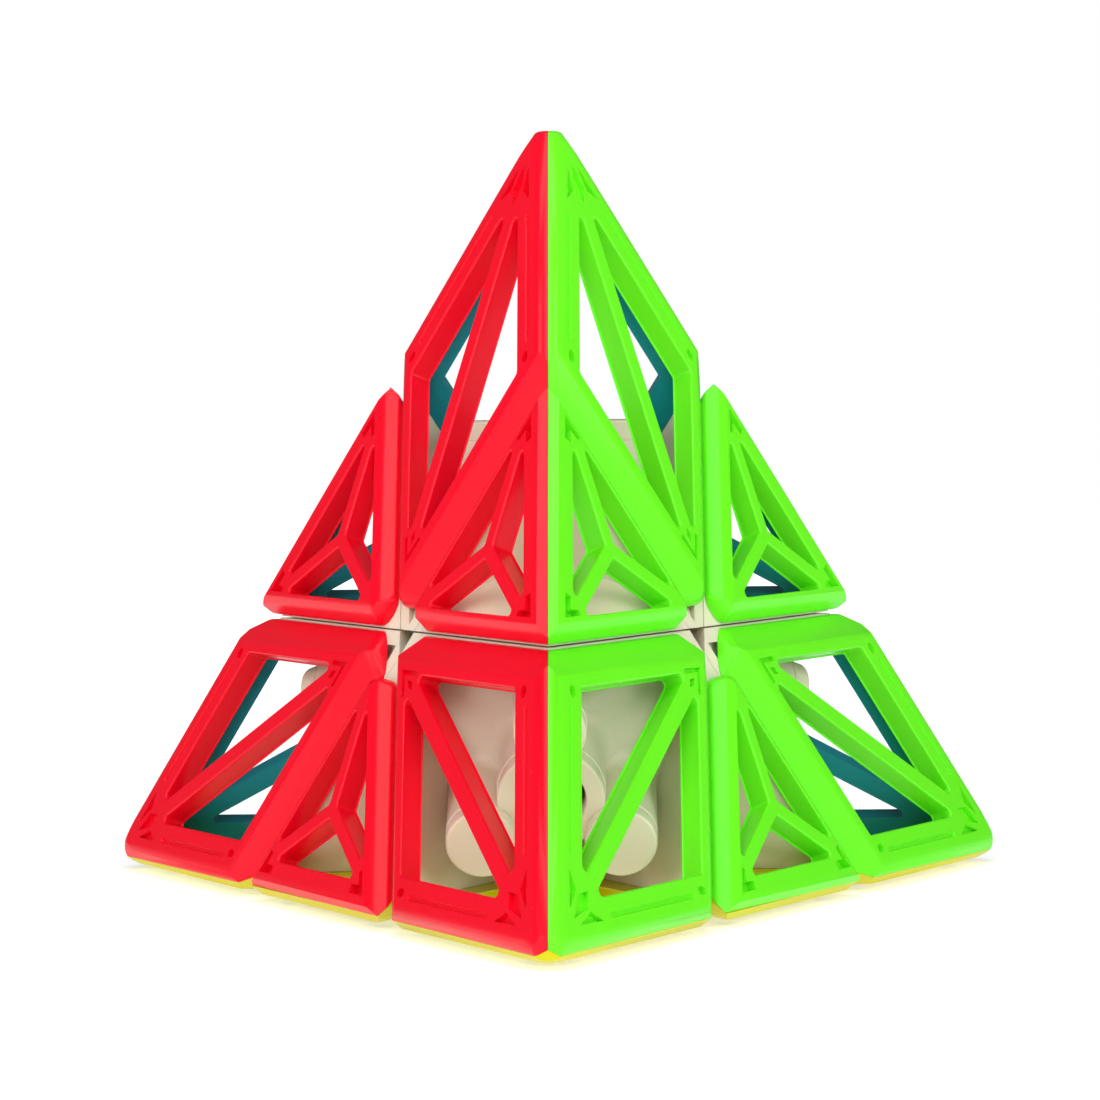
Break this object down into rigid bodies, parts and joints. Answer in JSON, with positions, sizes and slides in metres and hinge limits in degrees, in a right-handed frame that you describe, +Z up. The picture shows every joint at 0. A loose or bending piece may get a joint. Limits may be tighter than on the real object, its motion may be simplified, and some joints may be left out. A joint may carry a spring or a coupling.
{
  "type": "pyramid twisty puzzle",
  "caption": "Tetrahedral twisty puzzle with hollow coloured panels over a pale inner skeleton; each corner layer turns about its own axis to mix and match the faces.",
  "frame": {"origin": "centre of the core, where the four turning axes meet", "axes": "+Z up to the top tip; -Y to the front tip; +X along the longest edge at the back; the yellow face is down"},
  "size_m": [0.0922, 0.0803, 0.0757],
  "materials": {
    "red": "glossy moulded plastic",
    "green": "glossy moulded plastic",
    "blue": "glossy moulded plastic",
    "yellow": "glossy moulded plastic",
    "ivory": "smooth semi-gloss moulded plastic",
    "steel": "plain zinc-plated steel"
  },
  "bodies": {
    "core": {"core_hub": "ivory", "top_screw": "steel", "top_washer": "steel", "top_spring": "steel", "front_screw": "steel", "front_washer": "steel", "front_spring": "steel", "left_screw": "steel", "left_washer": "steel", "left_spring": "steel", "right_screw": "steel", "right_washer": "steel", "right_spring": "steel"},
    "top_corner": {"top_corner_frame": "ivory", "top_corner_red_panel": "red", "top_corner_green_panel": "green", "top_corner_blue_panel": "blue"},
    "front_corner": {"front_corner_frame": "ivory", "front_corner_red_panel": "red", "front_corner_green_panel": "green", "front_corner_yellow_panel": "yellow"},
    "left_corner": {"left_corner_frame": "ivory", "left_corner_red_panel": "red", "left_corner_blue_panel": "blue", "left_corner_yellow_panel": "yellow"},
    "right_corner": {"right_corner_frame": "ivory", "right_corner_green_panel": "green", "right_corner_blue_panel": "blue", "right_corner_yellow_panel": "yellow"},
    "top_front_edge": {"top_front_edge_frame": "ivory", "top_front_edge_red_panel": "red", "top_front_edge_green_panel": "green"},
    "top_left_edge": {"top_left_edge_frame": "ivory", "top_left_edge_red_panel": "red", "top_left_edge_blue_panel": "blue"},
    "top_right_edge": {"top_right_edge_frame": "ivory", "top_right_edge_green_panel": "green", "top_right_edge_blue_panel": "blue"},
    "front_left_edge": {"front_left_edge_frame": "ivory", "front_left_edge_red_panel": "red", "front_left_edge_yellow_panel": "yellow"},
    "left_right_edge": {"left_right_edge_frame": "ivory", "left_right_edge_blue_panel": "blue", "left_right_edge_yellow_panel": "yellow"},
    "right_front_edge": {"right_front_edge_frame": "ivory", "right_front_edge_green_panel": "green", "right_front_edge_yellow_panel": "yellow"}
  },
  "joints": [
    {"name": "top_turn", "type": "hinge", "parent": "core", "child": "top_corner", "pos_m": [0, 0, 0], "axis": [0, 0, 1], "range_deg": [-240, 120]},
    {"name": "front_turn", "type": "hinge", "parent": "core", "child": "front_corner", "pos_m": [0, 0, 0], "axis": [0, -0.9428, -0.3333], "range_deg": [-240, 120]},
    {"name": "left_turn", "type": "hinge", "parent": "core", "child": "left_corner", "pos_m": [0, 0, 0], "axis": [-0.8165, 0.4714, -0.3333], "range_deg": [-240, 120]},
    {"name": "right_turn", "type": "hinge", "parent": "core", "child": "right_corner", "pos_m": [0, 0, 0], "axis": [0.8165, 0.4714, -0.3333], "range_deg": [-240, 120]},
    {"name": "top_front_edge_turn", "type": "hinge", "parent": "front_corner", "child": "top_front_edge", "pos_m": [0, 0, 0], "axis": [0, 0, 1], "range_deg": [-240, 120]},
    {"name": "top_left_edge_turn", "type": "hinge", "parent": "left_corner", "child": "top_left_edge", "pos_m": [0, 0, 0], "axis": [0, 0, 1], "range_deg": [-240, 120]},
    {"name": "top_right_edge_turn", "type": "hinge", "parent": "right_corner", "child": "top_right_edge", "pos_m": [0, 0, 0], "axis": [0, 0, 1], "range_deg": [-240, 120]},
    {"name": "front_left_edge_turn", "type": "hinge", "parent": "front_corner", "child": "front_left_edge", "pos_m": [0, 0, 0], "axis": [-0.8165, 0.4714, -0.3333], "range_deg": [-240, 120]},
    {"name": "left_right_edge_turn", "type": "hinge", "parent": "left_corner", "child": "left_right_edge", "pos_m": [0, 0, 0], "axis": [0.8165, 0.4714, -0.3333], "range_deg": [-240, 120]},
    {"name": "right_front_edge_turn", "type": "hinge", "parent": "right_corner", "child": "right_front_edge", "pos_m": [0, 0, 0], "axis": [0, -0.9428, -0.3333], "range_deg": [-240, 120]}
  ],
  "couplings": [
    {"joint": "top_front_edge_turn", "follows": "top_turn", "ratio": 1},
    {"joint": "top_left_edge_turn", "follows": "top_turn", "ratio": 1},
    {"joint": "top_right_edge_turn", "follows": "top_turn", "ratio": 1},
    {"joint": "front_left_edge_turn", "follows": "left_turn", "ratio": 1},
    {"joint": "left_right_edge_turn", "follows": "right_turn", "ratio": 1},
    {"joint": "right_front_edge_turn", "follows": "front_turn", "ratio": 1}
  ]
}
